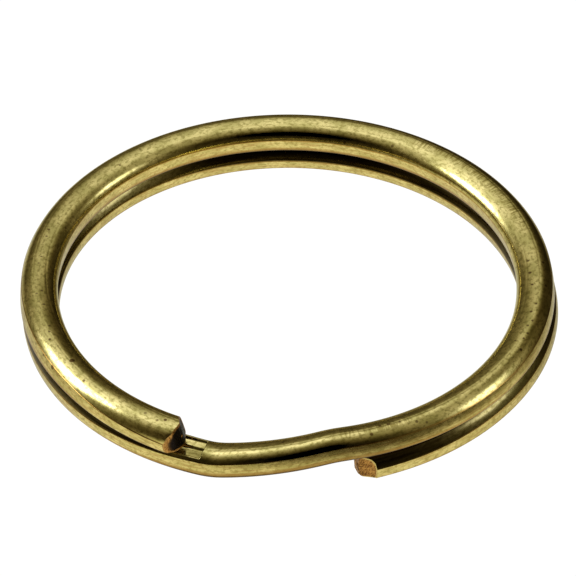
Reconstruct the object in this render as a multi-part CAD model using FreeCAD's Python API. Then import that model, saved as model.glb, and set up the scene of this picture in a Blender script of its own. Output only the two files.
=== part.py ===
import FreeCAD, Part
import math, os

os.makedirs("parts", exist_ok=True)
V = FreeCAD.Vector

# ---------------------------------------------------------------- dimensions (mm)
ring_od = 25.0            # outside diameter of the upper coil
wire_w = 1.65             # wire width, across the ring (radial)
wire_h = 1.20             # wire height, along the ring's axis
coil_gap = 0.03           # daylight between the two stacked coils at rest
upper_x, upper_y = -0.075, 0.019    # centres of the two coils: the lower one sits
lower_x, lower_y = 0.075, -0.081    # a little to the right and front of the upper

upper_tip_deg = 243.0     # free end of the upper coil (front left), seen from above
ramp_top_deg = -78.0      # where the wire leaves the upper level (front right)
ramp_foot_deg = -109.0    # where it reaches the lower level (front left)
lower_end_deg = -433.0    # free end of the lower coil (front right, -73 deg)
ramp_bend_deg = 7.0       # length of the soft bend at each end of the ramp
stretches_per_coil = 8    # flexing stretches that each coil is divided into

# section, measured from the wire's centre: a flattened round wire with a
# crowned top, soft shoulders, a crisp edge below each shoulder and a flat foot
crown_half = 0.50         # half width of the crowned band
crown_drop = 0.035        # how far the crown falls at its edges
shoulder_low = 0.10       # height of the crisp edge over the wire's centre
shoulder_in = 0.020       # inset of that edge from the full width
foot_half = 0.575         # half width of the flat foot
foot_corner_up = 0.20     # height of the rounded foot corner

# the pinched ends
tip_apex_in = 0.43        # apex of the upper end, as a share of the width from the hole
tip_apex_out = 0.37       # how far the apex stands past the wire's corners
end_bevel_len = 0.87      # length of the bevel on the lower end, along the wire
end_bevel_deep = 0.50     # depth of that bevel, from the outer side
# the cutter's nick in the crossover, beside the upper end
nick_from_deg = -107.2
nick_to_deg = -113.4
nick_deep = 0.20

# ---------------------------------------------------------------- derived
hw, hh = wire_w / 2, wire_h / 2
r_mean = ring_od / 2 - hw
pitch = wire_h + coil_gap
z_low = hh
z_up = hh + pitch


def section_points():
    """Corners of the section with the mid point of each curved side."""
    top = hh
    sh = top - crown_drop
    eo = hw - shoulder_in
    fz = -hh + foot_corner_up
    fo = hw - 0.022
    # the foot corner is an arc that meets the flat foot without dipping under it
    cx_, cz_ = fo - foot_half, foot_corner_up
    rc = (cx_ * cx_ + cz_ * cz_) / (2 * cz_)
    am = (math.atan2(cz_ - rc, cx_) - math.pi / 2) / 2
    foot_mid = (foot_half + rc * math.cos(am), -hh + rc + rc * math.sin(am))
    # (start, middle or None, end) right half from the crest to the foot
    right = [
        ((0.0, top), (crown_half * 0.5, top - crown_drop * 0.25), (crown_half, sh)),
        ((crown_half, sh), (crown_half + (eo - crown_half) * 0.66, sh - (sh - shoulder_low) * 0.36), (eo, shoulder_low)),
        ((eo, shoulder_low), (hw, (shoulder_low + fz) / 2), (fo, fz)),
        ((fo, fz), foot_mid, (foot_half, -hh)),
    ]
    left = []
    for a, m, b in reversed(right):
        left.append(((-b[0], b[1]), (-m[0], m[1]), (-a[0], a[1])))
    return right + [((foot_half, -hh), None, (-foot_half, -hh))] + left


def section_wire(o, u, v):
    """The section's outline at point o, with u pointing out and v pointing up."""
    def p(q):
        return V(o.x + u.x * q[0] + v.x * q[1], o.y + u.y * q[0] + v.y * q[1], o.z + u.z * q[0] + v.z * q[1])
    edges = []
    for a, m, b in section_points():
        if m is None:
            edges.append(Part.LineSegment(p(a), p(b)).toShape())
        else:
            edges.append(Part.Arc(p(a), p(m), p(b)).toShape())
    return Part.Wire(edges)


def coil_stretch(cx, cy, z, a0, a1):
    """A stretch of one flat coil from angle a0 down to angle a1."""
    t = math.radians(a0)
    u = V(math.cos(t), math.sin(t), 0)
    w = section_wire(V(cx + r_mean * u.x, cy + r_mean * u.y, z), u, V(0, 0, 1))
    s = Part.Face(w).revolve(V(cx, cy, 0), V(0, 0, 1), a1 - a0)
    return Part.Solid(s) if s.ShapeType != "Solid" else s


def ramp_share(deg):
    """0 on the upper level, 1 on the lower one, straight between two soft bends."""
    span = ramp_top_deg - ramp_foot_deg
    t = ramp_top_deg - deg
    k = ramp_bend_deg
    top_speed = 1.0 / (span - k)
    if t <= 0:
        return 0.0
    if t >= span:
        return 1.0
    if t < k:
        return top_speed * (t / 2 - k / (2 * math.pi) * math.sin(math.pi * t / k))
    if t > span - k:
        q = span - t
        return 1.0 - top_speed * (q / 2 - k / (2 * math.pi) * math.sin(math.pi * q / k))
    return top_speed * (t - k / 2)


def ramp_point(deg):
    s = ramp_share(deg)
    t = math.radians(deg)
    x = upper_x + s * (lower_x - upper_x)
    y = upper_y + s * (lower_y - upper_y)
    return V(x + r_mean * math.cos(t), y + r_mean * math.sin(t), z_up - s * pitch)


def ramp_section(deg):
    t = math.radians(deg)
    o = ramp_point(deg)
    if deg >= ramp_top_deg or deg <= ramp_foot_deg:
        return section_wire(o, V(math.cos(t), math.sin(t), 0), V(0, 0, 1))
    d = ramp_point(deg - 0.05) - ramp_point(deg + 0.05)
    d.normalize()
    u = V(d.y, -d.x, 0)
    u.normalize()
    if u.dot(V(math.cos(t), math.sin(t), 0)) < 0:
        u = u * -1.0
    v = d.cross(u)
    if v.z < 0:
        v = v * -1.0
    return section_wire(o, u, v)


def prism(points, z0, z1):
    """An upright block over a plan outline."""
    w = Part.makePolygon([V(x, y, z0) for x, y in points] + [V(points[0][0], points[0][1], z0)])
    return Part.Face(w).extrude(V(0, 0, z1 - z0))


def plan(cx, cy, deg, out, along):
    """A plan point: out from the wire's centre line, along the tangent towards larger angles."""
    t = math.radians(deg)
    return (cx + (r_mean + out) * math.cos(t) - along * math.sin(t),
            cy + (r_mean + out) * math.sin(t) + along * math.cos(t))


def checked(name, s):
    if s.ShapeType != "Solid":
        s = s.Solids[0]
    assert s.isValid(), name
    s.exportStep("parts/%s.step" % name)
    print("%-20s volume %.3f mm3" % (name, s.Volume))
    return s


parts = {}
uc = (upper_x, upper_y)
lc = (lower_x, lower_y)

# ---------------------------------------------------------------- upper coil
upper_names = ["upper_tip", "upper_left", "upper_back_left", "upper_back",
               "upper_back_right", "upper_right", "upper_right_front", "upper_front_right"]
step_u = (upper_tip_deg - ramp_top_deg) / stretches_per_coil
for i, name in enumerate(upper_names):
    a0 = upper_tip_deg - i * step_u
    a1 = a0 - step_u
    if i == 0:
        # the end is pinched to a low ridge: make it long, then cut both flanks
        s = coil_stretch(uc[0], uc[1], z_up, a0 + 3.0, a1)
        x_in, x_out, ridge = -hw, hw, -hw + tip_apex_in * wire_w
        cut = prism([plan(uc[0], uc[1], a0, x_in - 1.0, -tip_apex_out * 1.0 / (ridge - x_in)),
                     plan(uc[0], uc[1], a0, ridge, tip_apex_out),
                     plan(uc[0], uc[1], a0, x_out + 1.0, -tip_apex_out * 1.0 / (x_out - ridge)),
                     plan(uc[0], uc[1], a0, x_out + 1.0, 4.0),
                     plan(uc[0], uc[1], a0, x_in - 1.0, 4.0)], z_up - 2, z_up + 2)
        s = s.cut(cut)
    else:
        s = coil_stretch(uc[0], uc[1], z_up, a0, a1)
    parts[name] = checked(name, s)

# ---------------------------------------------------------------- crossover
n = 16
stations = [ramp_top_deg + (ramp_foot_deg - ramp_top_deg) * k / n for k in range(n + 1)]
ramp = Part.makeLoft([ramp_section(a) for a in stations], True, False)
foot = coil_stretch(lc[0], lc[1], z_low, ramp_foot_deg, ramp_foot_deg - 6.0)
cross = ramp.fuse(foot)
# the nick: a slanting bite out of the outer shoulder, left by the cutter
nk = [plan(lc[0], lc[1], nick_from_deg, hw + 0.3, 0.0), plan(lc[0], lc[1], nick_from_deg, -0.05, 0.0),
      plan(lc[0], lc[1], nick_to_deg, -0.05, 0.0), plan(lc[0], lc[1], nick_to_deg, hw + 0.3, 0.0)]
t = math.radians((nick_from_deg + nick_to_deg) / 2)
bite = prism(nk, z_low + hh - nick_deep, z_low + hh + 1.0)
bite.rotate(V(lc[0] + (r_mean - 0.05) * math.cos(t), lc[1] + (r_mean - 0.05) * math.sin(t), z_low + hh - nick_deep),
            V(-math.sin(t), math.cos(t), 0), 22.0)
cross = cross.cut(bite)
parts["crossover"] = checked("crossover", cross)

# ---------------------------------------------------------------- lower coil
lower_names = ["lower_front_left", "lower_left", "lower_back_left", "lower_back",
               "lower_back_right", "lower_right", "lower_right_front", "lower_end"]
lower_from = ramp_foot_deg - 6.0
step_l = (lower_from - lower_end_deg) / stretches_per_coil
for i, name in enumerate(lower_names):
    a0 = lower_from - i * step_l
    a1 = a0 - step_l
    s = coil_stretch(lc[0], lc[1], z_low, a0, a1)
    if i == stretches_per_coil - 1:
        cut = prism([plan(lc[0], lc[1], a1, hw, end_bevel_len),
                     plan(lc[0], lc[1], a1, hw - end_bevel_deep, 0.0),
                     plan(lc[0], lc[1], a1, hw - end_bevel_deep, -1.0),
                     plan(lc[0], lc[1], a1, hw + 1.0, -1.0),
                     plan(lc[0], lc[1], a1, hw + 1.0, end_bevel_len + end_bevel_len / end_bevel_deep)], z_low - 2, z_low + 2)
        s = s.cut(cut)
    parts[name] = checked(name, s)

print("total volume %.2f mm3" % sum(s.Volume for s in parts.values()))
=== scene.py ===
import math

import bpy
import numpy as np
from mathutils import Matrix, Vector


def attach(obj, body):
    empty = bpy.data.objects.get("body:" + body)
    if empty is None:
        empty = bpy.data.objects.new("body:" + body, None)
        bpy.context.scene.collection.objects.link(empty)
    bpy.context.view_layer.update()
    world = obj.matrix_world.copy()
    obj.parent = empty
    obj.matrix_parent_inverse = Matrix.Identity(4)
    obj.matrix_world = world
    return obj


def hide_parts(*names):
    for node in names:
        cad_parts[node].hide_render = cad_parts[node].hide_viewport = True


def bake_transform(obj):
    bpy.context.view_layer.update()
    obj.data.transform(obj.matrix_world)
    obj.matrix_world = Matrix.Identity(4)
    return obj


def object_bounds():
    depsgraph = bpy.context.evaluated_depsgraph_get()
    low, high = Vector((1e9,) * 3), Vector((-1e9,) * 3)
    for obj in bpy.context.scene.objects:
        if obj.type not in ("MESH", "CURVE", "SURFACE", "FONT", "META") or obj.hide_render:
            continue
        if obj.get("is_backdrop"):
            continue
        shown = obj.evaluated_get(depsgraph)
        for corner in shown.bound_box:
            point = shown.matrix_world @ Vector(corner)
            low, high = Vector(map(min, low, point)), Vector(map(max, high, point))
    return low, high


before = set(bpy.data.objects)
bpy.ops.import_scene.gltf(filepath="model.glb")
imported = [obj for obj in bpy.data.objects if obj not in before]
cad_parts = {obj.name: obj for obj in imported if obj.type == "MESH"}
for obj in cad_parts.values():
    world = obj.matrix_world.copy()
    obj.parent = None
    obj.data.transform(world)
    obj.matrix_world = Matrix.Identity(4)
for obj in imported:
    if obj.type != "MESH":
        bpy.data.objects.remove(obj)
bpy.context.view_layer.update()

MM = 0.001

# ------------------------------------------------------------------ the wire's path
# s is the travel in degrees from the upper tip (0) round the upper coil, down the
# crossover and round the lower coil to its end (676). The plan angle is 243 - s.
TIP_DEG = 243.0
ORIGIN = np.array([-0.075, 0.019, 1.83])      # centre of the upper coil, mm
R_MEAN = 11.675
PITCH = 1.23
RAMP_FROM, RAMP_TO, RAMP_BEND = 319.52, 353.32, 7.0
TIP_LIFT = 0.074
KNOTS = [0, 30, 65, 110, 155, 200, 245, 285, 318, 354, 385, 425, 470, 515, 560, 605, 645, 676]
RHO = [0.314, 0.035, -0.098, -0.111, -0.15, -0.163, -0.133, 0.028, 0.058, -0.128, -0.167, -0.107, 0.014, 0.058, 0.018, 0.043, 0.053, 0.046]
ROLL = [5.16, -16.02, -5.2, -1.83, -6.99, -8.64, -11.85, -19.02, -17.57, -7.26, 1.08, 2.81, -3.31, -12.79, -10.05, -14.52, -7.4, -0.19]
# height of the crisp outer edge over the wire's centre line, along the wire
EDGE_S = [-5, 0, 15, 25, 45, 65, 110, 245, 262, 275, 290, 308, 320, 354, 380, 700]
EDGE_V = [-0.05, -0.05, -0.07, 0.02, 0.07, 0.11, 0.09, 0.12, 0.03, -0.01, 0.02, 0.06, 0.10, 0.14, -0.02, -0.02]
HALF_W, HALF_H = 0.870, 0.578        # half the width; height of the foot below the centre line
TOP_H = 0.646                          # height of the crest above it
EDGE_IN_S, EDGE_IN_V = [0, 318, 345, 700], [0.14, 0.14, -0.01, -0.01]    # the inner edge


def spline(xk, yk, x):
    """Natural cubic through the knots, straight beyond them."""
    xk, yk = np.asarray(xk, float), np.asarray(yk, float)
    n = len(xk)
    h = np.diff(xk)
    A = np.zeros((n, n))
    r = np.zeros(n)
    A[0, 0] = A[-1, -1] = 1
    for i in range(1, n - 1):
        A[i, i - 1], A[i, i], A[i, i + 1] = h[i - 1], 2 * (h[i - 1] + h[i]), h[i]
        r[i] = 6 * ((yk[i + 1] - yk[i]) / h[i] - (yk[i] - yk[i - 1]) / h[i - 1])
    m = np.linalg.solve(A, r)
    x = np.asarray(x, float)
    k = np.clip(np.searchsorted(xk, x) - 1, 0, n - 2)
    a, b = xk[k], xk[k + 1]
    hh = b - a
    t = np.clip(x, xk[0], xk[-1])
    return (m[k] * (b - t) ** 3 / (6 * hh) + m[k + 1] * (t - a) ** 3 / (6 * hh)
            + (yk[k] / hh - m[k] * hh / 6) * (b - t) + (yk[k + 1] / hh - m[k + 1] * hh / 6) * (t - a))


def ramp_share(s):
    span = RAMP_TO - RAMP_FROM
    k = RAMP_BEND
    sp = 1 / (span - k)
    t = s - RAMP_FROM
    q = span - t
    o = np.where(t < k, sp * (t / 2 - k / (2 * np.pi) * np.sin(np.pi * np.clip(t, 0, k) / k)), sp * (t - k / 2))
    o = np.where(q < k, 1 - sp * (q / 2 - k / (2 * np.pi) * np.sin(np.pi * np.clip(q, 0, k) / k)), o)
    return np.where(s <= RAMP_FROM, 0, np.where(s >= RAMP_TO, 1, o))


def centre(s):
    s = np.asarray(s, float)
    th = np.radians(TIP_DEG - s)
    r = R_MEAN + spline(KNOTS, RHO, s)
    z = -PITCH * ramp_share(s) + TIP_LIFT * np.exp(-np.maximum(s, 0) / 25.0)
    return np.stack([r * np.cos(th), r * np.sin(th), z], -1) + ORIGIN


def axes(s):
    """Centre, outward axis, upward axis and forward tangent at travel s."""
    s = np.asarray(s, float)
    P = centre(s)
    T = centre(s + 0.01) - centre(s - 0.01)
    T /= np.linalg.norm(T, axis=-1, keepdims=True)
    th = np.radians(TIP_DEG - s)
    out = np.stack([np.cos(th), np.sin(th), 0 * th], -1)
    U = np.cross(T, np.array([0, 0, 1.0]))
    U /= np.linalg.norm(U, axis=-1, keepdims=True)
    U *= np.sign(np.sum(U * out, -1))[..., None]
    W = np.cross(U, T)
    W *= np.sign(W[..., 2])[..., None]
    ro = np.radians(spline(KNOTS, ROLL, s))[..., None]
    return P, U * np.cos(ro) - W * np.sin(ro), W * np.cos(ro) + U * np.sin(ro), T


# ------------------------------------------------------------------ the section
def bezier(p0, p1, p2, p3, t):
    t = t[:, None]
    return ((1 - t) ** 3 * p0 + 3 * t * (1 - t) ** 2 * p1 + 3 * t * t * (1 - t) * p2 + t ** 3 * p3)


TOP_N = 28            # outline points from the crest to the crisp edge


def half_section(crease, edge_v, soft=0.014, lean=(0.675, 0.080)):
    """Half outline from the crest to the middle of the foot; crease is the place of
    the fine line beside the crown, edge_v the height of the crisp edge, soft how far
    that edge is rounded and lean the point the shoulder heads for."""
    a, b, rc = HALF_W, HALF_H, 0.12
    pts = []
    # domed top: one superellipse arc from the crest to the crisp edge, with the fine
    # line left by the rolls beside the crown
    e, n = edge_v + soft, TOP_N
    ue = a - 0.018 - 0.35 * soft
    top = bezier(np.array([0.0, TOP_H]), np.array([0.37, TOP_H]), np.array([lean[0], TOP_H - lean[1]]),
                 np.array([ue, e]), np.linspace(0, 1, n + 1))
    for u, v in top:
        pts.append((u, v - 0.008 * math.exp(-((u - crease) / 0.022) ** 2)))
    start = edge_v - soft
    for t in (0.3, 0.6, 1.0):
        pts.append(((1 - t) ** 2 * ue + 2 * t * (1 - t) * (a - 0.010) + t * t * (a - 0.009),
                    (1 - t) ** 2 * e + 2 * t * (1 - t) * edge_v + t * t * start))
    low = -b + rc
    for t in (0.12, 0.3, 0.5, 0.7, 0.88):
        v = start * (1 - t) + low * t
        pts.append((a - 0.009 + 0.012 * math.sin(math.pi * t) - 0.012 * t, v))
    c0, c1 = np.array([a - 0.022, low]), np.array([a - rc - 0.02, -b])
    C = bezier(c0, c0 + np.array([-0.004, -0.55 * rc]), c1 + np.array([0.55 * rc, 0.0]), c1, np.linspace(0, 1, 7))
    pts += [tuple(p) for p in C]
    for t in (0.35, 0.7):
        pts.append(((a - rc - 0.02) * (1 - t), -b))
    return np.array(pts)


def section(s):
    """Closed outline (n, 2) at travel s, outer side first, the signed run round it from
    the crest (outer positive), and how far each point is below its crisp edge."""
    ev = float(np.interp(s, EDGE_S, EDGE_V))
    o = half_section(0.35, ev)
    low = float(np.interp(s, [357, 365], [0, 1]))
    i = half_section(0.25, float(np.interp(s, EDGE_IN_S, EDGE_IN_V)), 0.040 + 0.03 * low,
                     (0.695 - 0.085 * low, 0.085 + 0.12 * low)) * np.array([-1.0, 1.0])
    foot = np.array([[0.0, -HALF_H]])
    P = np.vstack([o, foot, i[::-1][:-1]])
    run_o = np.concatenate([[0], np.cumsum(np.linalg.norm(np.diff(o, axis=0), axis=1))])
    run_i = -np.concatenate([[0], np.cumsum(np.linalg.norm(np.diff(i, axis=0), axis=1))])
    run = np.concatenate([run_o, [run_o[-1] + 0.25], run_i[::-1][:-1]])
    below = np.concatenate([run_o - run_o[TOP_N], [1.5], (-run_i + run_i[TOP_N])[::-1][:-1] - 0.05])
    return P, run, below


N = len(section(0.0)[0])

# ------------------------------------------------------------------ stations
upper = ["upper_tip", "upper_left", "upper_back_left", "upper_back", "upper_back_right",
         "upper_right", "upper_right_front", "upper_front_right"]
lower = ["lower_front_left", "lower_left", "lower_back_left", "lower_back", "lower_back_right",
         "lower_right", "lower_right_front", "lower_end"]
BODIES = upper + ["crossover"] + lower
cuts = [40.125 * i for i in range(9)] + [358.0 + 39.75 * j for j in range(9)]
mids = [(cuts[i] + cuts[i + 1]) / 2 for i in range(17)]
DEG_MM = R_MEAN * math.pi / 180          # wire length of one degree, mm


def stations(a, b):
    """Travel values from a to b: fine where the wire is cut or bends, else even."""
    out = [a]
    while out[-1] < b - 1e-9:
        s = out[-1]
        if 348.6 < s < 357.4:
            st = 0.14
        elif 316 < s < 360:
            st = 0.45
        elif s < 3 or s > 671:
            st = 0.3
        else:
            st = 0.62
        out.append(min(b, s + st) if b - (s + st) > 0.3 * st else b)
    return np.array(out)


def nick(s, Q):
    """The cutter's nick beside the upper end: an inner wall, two floors with a step
    between them, and a slanting wall at its far end."""
    e0 = (s - 351.75) * DEG_MM
    e1 = (359.5 - s) * DEG_MM
    if e0 < -0.02 or e1 < 0:
        return Q
    u, v = Q[:, 0], Q[:, 1]
    floor_v = np.interp(u, [-0.36, -0.29, 0.04, 0.10, 0.64, 0.70], [TOP_H, 0.485, 0.405, 0.285, 0.235, 0.30])
    rise = np.maximum(np.clip(1 - e0 / 0.075, 0, 1), np.clip(1 - e1 / 0.25, 0, 1)) * 0.45
    out = np.where((u > -0.36) & (v > 0.0), np.minimum(v, floor_v + rise), v)
    return np.stack([u, out], -1)


def tip_along(Q):
    """How far the pinched upper end stands past travel 0, mm: a ridge in the middle of
    the width, leaning forward towards the foot."""
    u, v = Q[:, 0], Q[:, 1]
    top = np.interp(u, [-0.87, -0.56, -0.12, 0.08, 0.56, 0.80, 0.87], [0.05, 0.23, 0.55, 0.56, 0.46, 0.20, 0.10])
    lean = np.interp(u, [-0.87, 0.0, 0.50, 0.87], [0.28, 0.20, 0.14, 0.06])
    return top + lean * (TOP_H - v)


def end_back(Q):
    """How far the lower end is cut back from travel 676, mm: a bevel on its outer side,
    leaning back towards the crown."""
    u, v = Q[:, 0], Q[:, 1]
    return -np.interp(u, [-0.87, -0.22, 0.38, 0.47, 0.60, 0.72, 0.87], [0.16, 0.36, 0.33, 0.20, -0.14, -0.31, -0.38])


def ring(s, nicked=True):
    Q, run, below = section(s)
    if nicked:
        Q = nick(s, Q)
    P, U, W, T = axes(s)
    X = P[None] + Q[:, :1] * U[None] + Q[:, 1:] * W[None]
    return X, Q, run, below, T


def sweep(svals, shift=None):
    """Grid of points (m, N, 3); shift(j, Q) moves points along the wire, mm."""
    X = np.zeros((len(svals), N, 3))
    A = np.zeros((len(svals), N, 3))
    for j, s in enumerate(svals):
        x, Q, run, below, T = ring(s)
        d = np.zeros(N)
        if shift is not None:
            d = shift(j, Q)
            x = x + d[:, None] * T[None]
        X[j] = x
        A[j, :, 0] = s * DEG_MM + d
        A[j, :, 1] = run
        A[j, :, 2] = below
    return X, A


def grid_normals(X):
    """Smooth vertex normals of the grid from its own differences, facing out."""
    dj = np.gradient(X, axis=0)
    du = np.roll(X, -1, axis=1) - np.roll(X, 1, axis=1)
    n = np.cross(du, dj)
    n /= np.maximum(np.linalg.norm(n, axis=-1, keepdims=True), 1e-12)
    mid = X.mean(axis=1, keepdims=True)
    if np.mean(np.sum(n * (X - mid), -1)) < 0:
        n = -n
    return n


def attribute(me, name, values, kind):
    at = me.attributes.new(name, kind, "POINT")
    if kind == "FLOAT_VECTOR":
        at.data.foreach_set("vector", np.asarray(values, np.float32).ravel())
    else:
        at.data.foreach_set("value", np.asarray(values, np.float32).ravel())


def bump_of(A, centre_s, half, soft):
    s = A[:, 0] / DEG_MM
    return np.clip((half + soft - np.abs(s - centre_s)) / soft, 0, 1)


def tone_of(A):
    """Brightness of the metal along the wire: the sides are more tarnished."""
    s = A[:, 0] / DEG_MM
    return np.interp(s, [-5, 20, 45, 75, 110, 140, 170, 200, 225, 250, 270, 300, 330, 360, 400, 676],
                     [1.0, 1.0, 0.98, 0.96, 1.0, 1.0, 1.0, 1.0, 1.0, 0.96, 1.0, 1.0, 1.0, 1.0, 0.95, 0.95])


def rub_of(A):
    """Where the crown is rubbed across the wire."""
    s, r = A[:, 0] / DEG_MM, A[:, 1]

    def patch(s0, s1, r0, r1, ds, dr):
        return (np.clip((s - s0) / ds + 1, 0, 1) * np.clip((s1 - s) / ds + 1, 0, 1)
                * np.clip((r - r0) / dr + 1, 0, 1) * np.clip((r1 - r) / dr + 1, 0, 1))
    return np.maximum.reduce([patch(188, 224, 0.02, 0.62, 8, 0.12), 0.8 * patch(304, 322, -0.10, 0.55, 3, 0.15),
                              0.35 * patch(165, 188, -0.1, 0.4, 6, 0.2)])


def shade_and_dirt_in_gap_of(A):
    """Painted shade, with some dirt, on the lower coil's crown in the gap under the upper coil."""
    s, b = A[:, 0] / DEG_MM, A[:, 2]
    gap_strength = np.interp(s, [440, 455, 480, 495, 612, 626, 648, 660], [1.0, 0.62, 0.62, 1.0, 1.0, 0.62, 0.62, 1.0])
    return gap_strength * np.clip((s - 358) / 5, 0, 1) * np.clip((0.02 - b) / 0.05, 0, 1) * (b > -0.95)


def build(name, verts, faces, A, cut_and_shade_mask, normals=None, mats=()):
    me = bpy.data.meshes.new(name)
    me.from_pydata([tuple(v) for v in (np.asarray(verts) * MM)], [], [tuple(int(i) for i in f) for f in faces])
    me.validate()
    attribute(me, "wire", A, "FLOAT_VECTOR")
    attribute(me, "tone", tone_of(A), "FLOAT")
    attribute(me, "cut", cut_and_shade_mask, "FLOAT")
    attribute(me, "rub", rub_of(A), "FLOAT")
    attribute(me, "gap_shade_and_dirt", shade_and_dirt_in_gap_of(A), "FLOAT")
    for m in mats:
        me.materials.append(m)
    me.polygons.foreach_set("use_smooth", [True] * len(me.polygons))
    if normals is not None:
        me.normals_split_custom_set_from_vertices([tuple(n) for n in normals])
    ob = bpy.data.objects.new(name, me)
    bpy.context.scene.collection.objects.link(ob)
    return ob


def grid_faces(m, flip):
    F = []
    for j in range(m - 1):
        for k in range(N):
            a, b = j * N + k, j * N + (k + 1) % N
            c, d = (j + 1) * N + (k + 1) % N, (j + 1) * N + k
            F.append((a, d, c, b) if flip else (a, b, c, d))
    return F


# ------------------------------------------------------------------ brass
# marks on the wire: travel along the wire (deg), run across it from the crest (mm,
# outer side positive), radius (mm), strength
SPECKS = [
    (56.5, 0, 0.048, 0.8), (55.5, 0.265, 0.043, 0.6), (51.5, 0.039, 0.052, 0.7), (43.5, 0.192, 0.048, 0.8),
    (41.5, 0.339, 0.048, 0.8), (39, 0.514, 0.052, 0.9), (37, 1.209, 0.052, 0.8), (32.5, 1.216, 0.086, 0.9),
    (30, 0.265, 0.105, 0.95), (23, 0.553, 0.057, 0.8), (0.5, 0, 0.062, 0.9), (2, 0.192, 0.048, 0.7),
    (5.5, 0.117, 0.057, 0.6), (315, 0.683, 0.062, 0.8), (312.5, 0.302, 0.057, 0.8),
    (310.5, 0.34, 0.067, 0.8), (308, 0.412, 0.048, 0.6), (304.5, 0.69, 0.057, 0.7),
    (302.5, 0.889, 0.048, 0.6), (271, 0.673, 0.062, 0.9), (267.5, 0.481, 0.048, 0.8),
    (265.5, 0.517, 0.052, 0.8), (269, 0.192, 0.043, 0.7), (261, 0.444, 0.048, 0.8), (263, 0.339, 0.048, 0.8),
    (258, 0.229, 0.052, 0.9), (255, 0.339, 0.052, 0.8), (248, 0.655, 0.052, 0.8), (248, 0, 0.052, 0.9),
    (243.5, -0.117, 0.062, 0.9), (239, -0.155, 0.057, 0.8), (240, 0.547, 0.052, 0.8),
    (79, 0.117, 0.057, 0.8), (76.5, 0.078, 0.048, 0.7), (69, 0.039, 0.043, 0.7), (66.5, 0.117, 0.043, 0.6),
    (81.5, -0.58, 0.048, 0.6), (108.5, -0.192, 0.052, 0.7), (116, 0.117, 0.048, 0.6),
    (140.5, -0.686, 0.067, 0.7), (168, -0.92, 0.057, 0.7), (180.5, -0.546, 0.057, 0.7),
    (199.5, -1.009, 0.057, 0.6), (333.5, 0.078, 0.052, 0.7), (337, -1.154, 0.043, 0.6),
]


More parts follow.
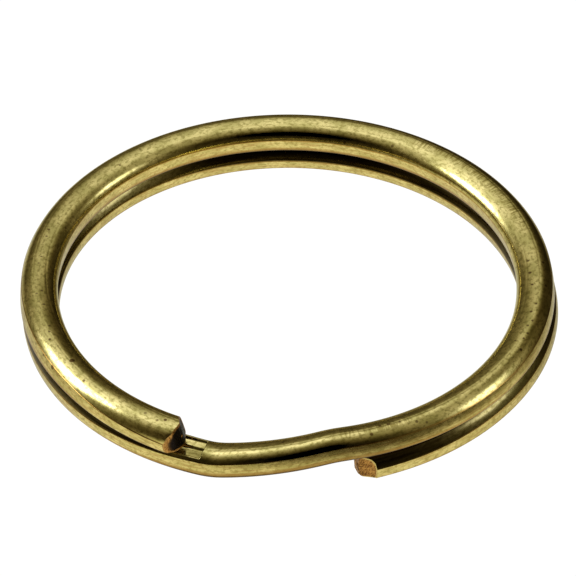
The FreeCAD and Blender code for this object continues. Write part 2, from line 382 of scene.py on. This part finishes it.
def brass(name, specks, seed):
    m = bpy.data.materials.new(name)
    m.use_nodes = True
    nt = m.node_tree
    nt.nodes.clear()
    N_, L_ = nt.nodes, nt.links

    def node(kind, **kw):
        n = N_.new(kind)
        for k, v in kw.items():
            setattr(n, k, v)
        return n

    def mix(fac, a, b, blend="MIX"):
        n = node("ShaderNodeMix", data_type="RGBA", blend_type=blend)
        for sock, val in ((n.inputs[0], fac), (n.inputs[6], a), (n.inputs[7], b)):
            if isinstance(val, bpy.types.NodeSocket):
                L_.new(val, sock)
            elif val is not None:
                sock.default_value = val
        return n.outputs[2]

    def math_(op, a, b=None, clamp=False):
        n = node("ShaderNodeMath", operation=op, use_clamp=clamp)
        for i, val in enumerate((a, b)):
            if isinstance(val, bpy.types.NodeSocket):
                L_.new(val, n.inputs[i])
            elif val is not None:
                n.inputs[i].default_value = val
        return n.outputs[0]

    def rng(v, a, b, c=0.0, d=1.0, smooth=True):
        n = node("ShaderNodeMapRange", interpolation_type="SMOOTHSTEP" if smooth else "LINEAR")
        L_.new(v, n.inputs[0])
        for i, x in enumerate((a, b, c, d)):
            n.inputs[i + 1].default_value = x
        return n.outputs[0]

    def noise(vec, scale, detail=3.0, rough=0.55, loc=(0, 0, 0), stretch=(1, 1, 1)):
        mp = node("ShaderNodeMapping")
        mp.inputs["Location"].default_value = loc
        mp.inputs["Scale"].default_value = stretch
        L_.new(vec, mp.inputs["Vector"])
        n = node("ShaderNodeTexNoise")
        n.inputs["Scale"].default_value = scale
        n.inputs["Detail"].default_value = detail
        n.inputs["Roughness"].default_value = rough
        L_.new(mp.outputs[0], n.inputs["Vector"])
        return n.outputs[0]

    out = node("ShaderNodeOutputMaterial")
    bs = node("ShaderNodeBsdfPrincipled")
    L_.new(bs.outputs[0], out.inputs[0])
    bs.inputs["Metallic"].default_value = 1.0
    wire = node("ShaderNodeAttribute", attribute_name="wire")
    tone = node("ShaderNodeAttribute", attribute_name="tone")
    cut = node("ShaderNodeAttribute", attribute_name="cut")
    rub = node("ShaderNodeAttribute", attribute_name="rub")
    gap_shade_and_dirt = node("ShaderNodeAttribute", attribute_name="gap_shade_and_dirt")
    W = wire.outputs["Vector"]
    sep = node("ShaderNodeSeparateXYZ")
    L_.new(W, sep.inputs[0])
    along, run, below = sep.outputs[0], sep.outputs[1], sep.outputs[2]

    flow = noise(W, 1.0, 4.0, 0.6, (seed, 0, 0), (0.30, 6.0, 0.0))      # long drawn streaks
    fine = noise(W, 1.0, 3.0, 0.6, (0, seed, 0), (0.7, 13.0, 0.0))      # fine drawing lines
    cloud = noise(W, 1.0, 3.0, 0.55, (seed, 3, 0), (0.9, 1.6, 0.0))     # tarnish patches
    mottle = noise(W, 1.0, 3.0, 0.65, (seed, 11, 0), (4.0, 6.0, 0.0))   # small mottling
    across = noise(W, 1.0, 2.0, 0.6, (seed, 7, 0), (6.0, 0.8, 0.0))    # rubbing across the wire
    grain = noise(W, 1.0, 2.0, 0.5, (seed, 5, 0), (20.0, 20.0, 0.0))

    side = rng(below, -0.004, 0.020)
    edge = math_("MULTIPLY", rng(below, -0.075, -0.002), rng(below, 0.045, 0.010))
    rubbed = math_("MULTIPLY", rub.outputs["Fac"], rng(across, 0.42, 0.62))
    gold = mix(rng(cloud, 0.35, 0.65), (0.90, 0.75, 0.29, 1), (0.62, 0.53, 0.175, 1))
    gold = mix(math_("MULTIPLY", rng(mottle, 0.45, 0.64), 0.78), gold, (0.35, 0.285, 0.07, 1))
    gold = mix(math_("MULTIPLY", rng(flow, 0.48, 0.72), 0.30), gold, (0.56, 0.42, 0.13, 1))
    gold = mix(math_("MULTIPLY", rubbed, 0.85), gold, (0.30, 0.225, 0.045, 1))
    # browner drawing lines below the crisp edges, and a brown line along the edges
    gold = mix(math_("MULTIPLY", side, math_("ADD", math_("MULTIPLY", rng(fine, 0.46, 0.64), 0.60), 0.10)), gold, (0.50, 0.31, 0.09, 1))
    gold = mix(math_("MULTIPLY", edge, 0.80), gold, (0.40, 0.215, 0.035, 1))
    # painted shade under the wire: the lower part of the side and the bottom corner darken to brown, then near black
    gold = mix(math_("MULTIPLY", rng(below, 0.40, 0.54), 0.75), gold, (0.36, 0.19, 0.04, 1))
    gold = mix(math_("MULTIPLY", rng(below, 0.54, 0.66), 0.90), gold, (0.06, 0.03, 0.012, 1))
    # painted shade, with some dirt: the lower coil's crown darkens to near black in the gap under the upper coil
    gap_shade_and_dirt_fac = math_("MULTIPLY", gap_shade_and_dirt.outputs["Fac"], rng(flow, 0.30, 0.72, 0.97, 0.80))
    gold = mix(gap_shade_and_dirt_fac, gold, (0.035, 0.018, 0.006, 1))
    gold = mix(1.0, gold, tone.outputs["Color"], "MULTIPLY")
    # cut metal: brown and rough; where the cut mark passes 1, in the middle of the upper tip's cut face, it is painted
    # near black, a painted shade of the face turned into the gap
    cut_and_shade = cut.outputs["Fac"]
    gold = mix(rng(cut_and_shade, 0.0, 1.0, smooth=False), gold, mix(rng(grain, 0.38, 0.66), (0.56, 0.29, 0.075, 1), (0.17, 0.065, 0.015, 1)))
    gold = mix(rng(cut_and_shade, 1.1, 1.9), gold, (0.012, 0.008, 0.006, 1))
    for (ss, rr, rad, st) in specks:
        d = node("ShaderNodeVectorMath", operation="DISTANCE")
        flat = node("ShaderNodeCombineXYZ")
        L_.new(along, flat.inputs[0])
        L_.new(run, flat.inputs[1])
        L_.new(flat.outputs[0], d.inputs[0])
        d.inputs[1].default_value = (ss * DEG_MM, rr, 0.0)
        w = rng(math_("ADD", d.outputs["Value"], math_("MULTIPLY", mottle, rad * 0.9)), rad * 2.15, rad * 1.25, 0.0, st)
        gold = mix(w, gold, (0.12, 0.055, 0.012, 1))
    L_.new(gold, bs.inputs["Base Color"])

    r = math_("ADD", math_("MULTIPLY", rng(fine, 0.4, 0.75), 0.06), 0.12)
    r = math_("ADD", r, math_("MULTIPLY", side, 0.10))
    r = math_("ADD", r, math_("MULTIPLY", rubbed, 0.12))
    r = math_("ADD", r, rng(cut_and_shade, 0.0, 1.0, 0.0, 0.28, smooth=False))
    L_.new(r, bs.inputs["Roughness"])

    h = math_("ADD", math_("MULTIPLY", fine, rng(side, 0.0, 1.0, 0.12, 0.8, smooth=False)),
              math_("MULTIPLY", grain, math_("ADD", math_("MULTIPLY", cut_and_shade, 2.5), 0.05)))
    h = math_("ADD", h, math_("MULTIPLY", rubbed, 1.2))
    h = math_("ADD", h, math_("MULTIPLY", mottle, 0.8))
    bp = node("ShaderNodeBump")
    bp.inputs["Strength"].default_value = 0.35
    bp.inputs["Distance"].default_value = 0.000007
    L_.new(h, bp.inputs["Height"])
    L_.new(bp.outputs[0], bs.inputs["Normal"])
    return m


# ------------------------------------------------------------------ pieces of the wire
# normals are worked out once over the whole wire, so that neighbours meet unseen
all_s, owner = [], []
bounds_s = [0.0] + mids + [676.0]
seg_s = [stations(bounds_s[i], bounds_s[i + 1]) for i in range(18)]
whole = np.concatenate([seg_s[0]] + [q[1:] for q in seg_s[1:]])


def end_shift(j_s):
    """Along-wire shift of the points near both ends, fading in over 1.6 mm."""
    def f(s, Q):
        d = np.zeros(len(Q))
        near = np.clip(1 - s * DEG_MM / 1.2, 0, 1)
        if near > 0:
            d -= near * tip_along(Q)
        back = np.clip(1 - (676.0 - s) * DEG_MM / 1.2, 0, 1)
        if back > 0:
            d -= back * end_back(Q)
        return d
    return f


shift_fn = end_shift(None)
XW, AW = sweep(whole, lambda j, Q: shift_fn(whole[j], Q))
NW = grid_normals(XW)

# winding: find which way round makes the faces look out
e1 = XW[200, 1] - XW[200, 0]
e2 = XW[201, 0] - XW[200, 0]
FLIP = np.dot(np.cross(e1, e2), NW[200, 0]) < 0


def take(i0, i1, name, end=None):
    """Mesh of whole-wire stations i0..i1, with a cap at 'tip' or 'end'."""
    X, A, Nn = XW[i0:i1 + 1], AW[i0:i1 + 1], NW[i0:i1 + 1]
    m = len(X)
    V = list(X.reshape(-1, 3))
    AA = list(A.reshape(-1, 3))
    C = [0.0] * len(V)
    F = grid_faces(m, FLIP)
    NN = list(Nn.reshape(-1, 3))
    capfaces = []
    if end:
        s = whole[0] if end == "tip" else whole[-1]
        Q, run, below = section(s)
        P, U, W, T = axes(s)
        fn = tip_along if end == "tip" else end_back
        sg = -1.0
        base = 0 if end == "tip" else (m - 1) * N
        # the cut face has its own copy of the rim, so that its edge stays crisp
        first = len(V)
        rings = []
        cc = np.array([-0.02, -0.03])
        rough = np.random.default_rng(7)
        # cut mark of each cap ring: up to 1 is brown cut metal; above 1, in the middle of the upper tip's face, it is
        # painted near black as painted shade
        cut_and_shade_by = {"tip": (0.9, 0.9, 1.1, 1.7, 2.0, 2.0, 2.0, 2.0), "end": (0.35, 0.35, 1.0, 1.0, 1.0, 1.0, 1.0, 1.0)}[end]
        for k, sc in enumerate((1.0, 0.965, 0.90, 0.80, 0.66, 0.50, 0.33, 0.16)):
            q = cc + (Q - cc) * sc
            d = sg * fn(q)
            if k == 1:
                d = d - 0.012 * (1 if end == "tip" else -1)
            elif k > 1:
                d = d - (0.016 + (0.004 if end == "tip" else 0.012) * rough.standard_normal(len(q))) * (1 if end == "tip" else -1)
            x = P[None] + q[:, :1] * U[None] + q[:, 1:] * W[None] + d[:, None] * T[None]
            rings.append(len(V))
            V += list(x)
            AA += [np.array([s * DEG_MM + d[i] + 0.7 * q[i, 1], q[i, 0], -1.0]) for i in range(N)]
            C += [cut_and_shade_by[k]] * N
        top = len(V)
        d0 = float(fn(cc[None])[0])
        V.append(P + cc[0] * U + cc[1] * W + (sg * d0) * T)
        AA.append(np.array([s * DEG_MM, 0, -1.0]))
        C.append(1.0)
        fl = FLIP if end == "tip" else not FLIP
        for k in range(len(rings) - 1):
            for i in range(N):
                a, b = rings[k] + i, rings[k] + (i + 1) % N
                c, dd = rings[k + 1] + (i + 1) % N, rings[k + 1] + i
                capfaces.append((a, b, c, dd) if fl else (a, dd, c, b))
        for i in range(N):
            a, b = rings[-1] + i, rings[-1] + (i + 1) % N
            capfaces.append((a, b, top) if fl else (a, top, b))
        F = F + capfaces
        # cap normals from its faces
        VV = np.array(V)
        acc = np.zeros_like(VV)
        for f in capfaces:
            n = np.cross(VV[f[1]] - VV[f[0]], VV[f[2]] - VV[f[0]])
            for i in f:
                acc[i] += n
        cn = acc[first:]
        cn /= np.maximum(np.linalg.norm(cn, axis=1, keepdims=True), 1e-12)
        NN = NN + list(cn)
    return np.array(V), F, np.array(AA), np.array(C), np.array(NN)


def index_of(s):
    return int(np.argmin(np.abs(whole - s)))


marks = [index_of(b) for b in bounds_s]
made = []
for i in range(18):
    s0, s1 = bounds_s[i], bounds_s[i + 1]
    end = "tip" if i == 0 else ("end" if i == 17 else None)
    V, F, A, C, NN = take(marks[i], marks[i + 1], "", end)
    if i == 0:
        name = "wire_upper_tip_end"
    elif i == 17:
        name = "wire_lower_end_end"
    else:
        name = "wire_%s_to_%s" % (BODIES[i - 1], BODIES[i])
    specks = [q for q in SPECKS if s0 - 0.6 <= q[0] <= s1 + 0.6]
    mat = brass("brass_%02d" % i, specks, 0.0)
    ob = build(name, V, F, A, C, NN, [mat])
    if i == 0:
        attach(ob, BODIES[0])
        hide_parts(BODIES[0])
    elif i == 17:
        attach(ob, BODIES[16])
    else:
        p0, p1 = centre(s0) * MM, centre(s1) * MM
        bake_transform(ob)
        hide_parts(BODIES[i])
    made.append(ob)

# ------------------------------------------------------------------ floor, backdrop, light
vis_lo, vis_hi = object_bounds()


def glow(name, colour, strength):
    m = bpy.data.materials.new(name)
    m.use_nodes = True
    m.node_tree.nodes.clear()
    o = m.node_tree.nodes.new("ShaderNodeOutputMaterial")
    e = m.node_tree.nodes.new("ShaderNodeEmission")
    e.inputs[0].default_value = (*colour, 1)
    e.inputs[1].default_value = strength
    m.node_tree.links.new(e.outputs[0], o.inputs[0])
    return m


def plane(name, size, z, mat):
    me = bpy.data.meshes.new(name)
    h = size / 2
    me.from_pydata([(-h, -h, z), (h, -h, z), (h, h, z), (-h, h, z)], [], [(0, 1, 2, 3)])
    me.materials.append(mat)
    ob = bpy.data.objects.new(name, me)
    bpy.context.scene.collection.objects.link(ob)
    ob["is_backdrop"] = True
    return ob


white = glow("pale_floor", (1.0, 1.0, 1.0), 1.05)
floor = plane("floor", 6.0, vis_lo.z - 0.005, white)      # clear of the lower end when it is prised down
back = bpy.data.meshes.new("backdrop")
ring_n = 48
bv, bf = [], []
for z in (-0.5, 3.0):
    for k in range(ring_n):
        t = 2 * math.pi * k / ring_n
        bv.append((3.0 * math.cos(t), 3.0 * math.sin(t), z))
for k in range(ring_n):
    bf.append((k, (k + 1) % ring_n, ring_n + (k + 1) % ring_n, ring_n + k))
back.from_pydata(bv, [], bf)
back.materials.append(white)
backdrop = bpy.data.objects.new("backdrop", back)
bpy.context.scene.collection.objects.link(backdrop)
backdrop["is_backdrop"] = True
for ob in (floor, backdrop):
    ob.visible_glossy = False
    ob.visible_diffuse = False
    ob.visible_shadow = False

# the studio, as the metal sees it: dark room, pale table in front, a large soft
# panel behind and above, and a softbox on each side
world = bpy.data.worlds.new("studio")
bpy.context.scene.world = world
world.use_nodes = True
wt = world.node_tree
wt.nodes.clear()
wo = wt.nodes.new("ShaderNodeOutputWorld")
bg = wt.nodes.new("ShaderNodeBackground")
wt.links.new(bg.outputs[0], wo.inputs[0])
tc = wt.nodes.new("ShaderNodeTexCoord")


def wnode(kind, **kw):
    n = wt.nodes.new(kind)
    for k, v in kw.items():
        setattr(n, k, v)
    return n


def wmath(op, a, b=None):
    n = wnode("ShaderNodeMath", operation=op)
    for i, val in enumerate((a, b)):
        if isinstance(val, bpy.types.NodeSocket):
            wt.links.new(val, n.inputs[i])
        elif val is not None:
            n.inputs[i].default_value = val
    return n.outputs[0]


def wrange(v, a, b, c=0.0, d=1.0):
    n = wnode("ShaderNodeMapRange", interpolation_type="SMOOTHSTEP")
    wt.links.new(v, n.inputs[0])
    for i, x in enumerate((a, b, c, d)):
        n.inputs[i + 1].default_value = x
    return n.outputs[0]


wsep = wnode("ShaderNodeSeparateXYZ")
wt.links.new(tc.outputs["Generated"], wsep.inputs[0])
dx, dy, dz = wsep.outputs
elev = wmath("MULTIPLY", wmath("ARCSINE", dz), 180 / math.pi)
azim = wmath("MULTIPLY", wmath("ARCTAN2", dx, dy), 180 / math.pi)     # 0 behind, 90 right

total = None


def add(colour, strength, weight):
    global total
    n = wnode("ShaderNodeVectorMath", operation="SCALE")
    n.inputs[0].default_value = tuple(c * strength for c in colour)
    wt.links.new(weight, n.inputs["Scale"])
    if total is None:
        total = n.outputs[0]
    else:
        a = wnode("ShaderNodeVectorMath", operation="ADD")
        wt.links.new(total, a.inputs[0])
        wt.links.new(n.outputs[0], a.inputs[1])
        total = a.outputs[0]


def lobe(el, az, curve):
    """A soft light round one direction; curve is [(degrees from it, strength), ...]."""
    e, a = math.radians(el), math.radians(az)
    d = wnode("ShaderNodeVectorMath", operation="DOT_PRODUCT")
    wt.links.new(tc.outputs["Generated"], d.inputs[0])
    d.inputs[1].default_value = (math.sin(a) * math.cos(e), math.cos(a) * math.cos(e), math.sin(e))
    ang = wmath("MULTIPLY", wmath("ARCCOSINE", d.outputs["Value"]), 180 / math.pi)
    n = wnode("ShaderNodeFloatCurve")
    c = n.mapping.curves[0]
    top = max(v for _, v in curve)
    pts = [(x / 90.0, v / top) for x, v in curve]
    c.points[0].location, c.points[1].location = pts[0], (1.0, pts[-1][1])
    for p in pts[1:]:
        c.points.new(*p)
    n.mapping.update()
    wt.links.new(wmath("DIVIDE", ang, 90.0), n.inputs["Value"])
    return n.outputs[0], top


def light(colour, el, az, curve):
    w, top = lobe(el, az, curve)
    add(colour, top, w)


def window(v, a0, a1, b1, b0):
    """0 outside a0..b0, 1 within a1..b1."""
    return wmath("MULTIPLY", wrange(v, a0, a1), wrange(v, b0, b1))


behind = wrange(dy, -0.20, 0.50)
one = wmath("ADD", wmath("MULTIPLY", dz, 0.0), 1.0)
add((1.0, 1.0, 1.0), 0.006, one)                                                               # the room
add((1.0, 1.0, 1.0), 0.014, behind)
add((1.0, 1.0, 1.0), 0.22, wmath("MULTIPLY", wrange(elev, 28, 62), wrange(dy, -0.75, 0.05)))   # its ceiling
light((1.0, 1.0, 1.0), 58, -8, [(0, 0.75), (10, 0.68), (18, 0.50), (23, 0.36), (28, 0.22), (34, 0.10), (42, 0.05), (55, 0.02), (75, 0.0)])    # panel overhead, behind
light((1.0, 1.0, 1.0), 18, -8, [(0, 0.08), (12, 0.06), (25, 0.02), (40, 0.0)])
light((1.0, 1.0, 1.0), 29, -79, [(0, 6.0), (11, 5.4), (15, 3.0), (18, 1.45), (21, 0.75), (24, 0.42), (27, 0.30), (30, 0.20), (35, 0.12), (45, 0.03), (60, 0.0)])   # softbox, left
light((1.0, 1.0, 1.0), 50, -58, [(0, 0.68), (8, 0.64), (13, 0.42), (17, 0.27), (22, 0.12), (30, 0.03), (45, 0.0)])
light((1.0, 1.0, 1.0), 26, 92, [(0, 2.3), (7, 2.0), (10, 1.25), (13, 0.70), (16, 0.36), (20, 0.22), (26, 0.12), (34, 0.04), (50, 0.0)])   # softbox, right
light((1.0, 1.0, 1.0), 62, 88, [(0, 0.12), (12, 0.10), (24, 0.03), (40, 0.0)])
add((1.0, 0.97, 0.80), 0.80, wmath("MULTIPLY", wrange(elev, -6, -22), wrange(dy, 0.60, -0.20)))    # table in front
add((1.0, 0.98, 0.88), 0.60, wmath("MULTIPLY", wmath("MULTIPLY", wrange(elev, 4, -30), wrange(azim, 6, -14)), behind))     # table behind
add((1.0, 0.98, 0.88), 0.55, wmath("MULTIPLY", wmath("MULTIPLY", wrange(elev, -8, -38), wrange(azim, -14, 6)), behind))

# dim light in the room is warm, the lamps themselves a cool white
wl = wnode("ShaderNodeVectorMath", operation="DOT_PRODUCT")
wt.links.new(total, wl.inputs[0])
wl.inputs[1].default_value = (0.3, 0.6, 0.1)
tint = wnode("ShaderNodeValToRGB")
cr = tint.color_ramp
stops = [(0.10, (1.0, 0.74, 0.34)), (0.23, (1.0, 0.81, 0.40)), (0.34, (1.0, 0.89, 0.56)), (0.47, (1.0, 0.95, 0.72)),
         (0.62, (1.0, 1.0, 0.92)), (0.80, (1.0, 1.03, 1.10)), (1.0, (1.0, 1.05, 1.22))]
cr.elements[0].position, cr.elements[1].position = stops[0][0], stops[-1][0]
cr.elements[0].color, cr.elements[-1].color = stops[0][1] + (1.0,), stops[-1][1] + (1.0,)
for p, c in stops[1:-1]:
    cr.elements.new(p).color = c + (1.0,)
wt.links.new(wmath("SQRT", wmath("DIVIDE", wl.outputs["Value"], 1.5)), tint.inputs[0])
tinted = wnode("ShaderNodeVectorMath", operation="MULTIPLY")
wt.links.new(total, tinted.inputs[0])
wt.links.new(tint.outputs[0], tinted.inputs[1])
wt.links.new(tinted.outputs[0], bg.inputs[0])

# ------------------------------------------------------------------ camera
E = math.radians(39.363)
DIST = 298.4
ROLL_CAM = -0.0046
F_PX = 6394
cam_data = bpy.data.cameras.new("camera")
cam = bpy.data.objects.new("camera", cam_data)
bpy.context.scene.collection.objects.link(cam)
bpy.context.scene.camera = cam
back_dir = Vector((0.0, -math.cos(E), math.sin(E)))
cam.location = (Vector(ORIGIN) + back_dir * DIST) * MM
q = (-back_dir).to_track_quat("-Z", "Y")
cam.rotation_mode = "QUATERNION"
cam.rotation_quaternion = q @ Matrix.Rotation(ROLL_CAM, 4, "Z").to_quaternion()
cam_data.sensor_width = 36.0
cam_data.lens = F_PX / 576.0 * 36.0
cam_data.shift_x = -(287.58 - 288.0) / 576.0
cam_data.shift_y = (282.45 - 288.0) / 576.0
cam_data.clip_start = 0.005
cam_data.clip_end = 20.0
cam_data.dof.use_dof = False

sc = bpy.context.scene
sc.view_settings.view_transform = "Standard"
sc.view_settings.look = "None"

vis_lo, vis_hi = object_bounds()
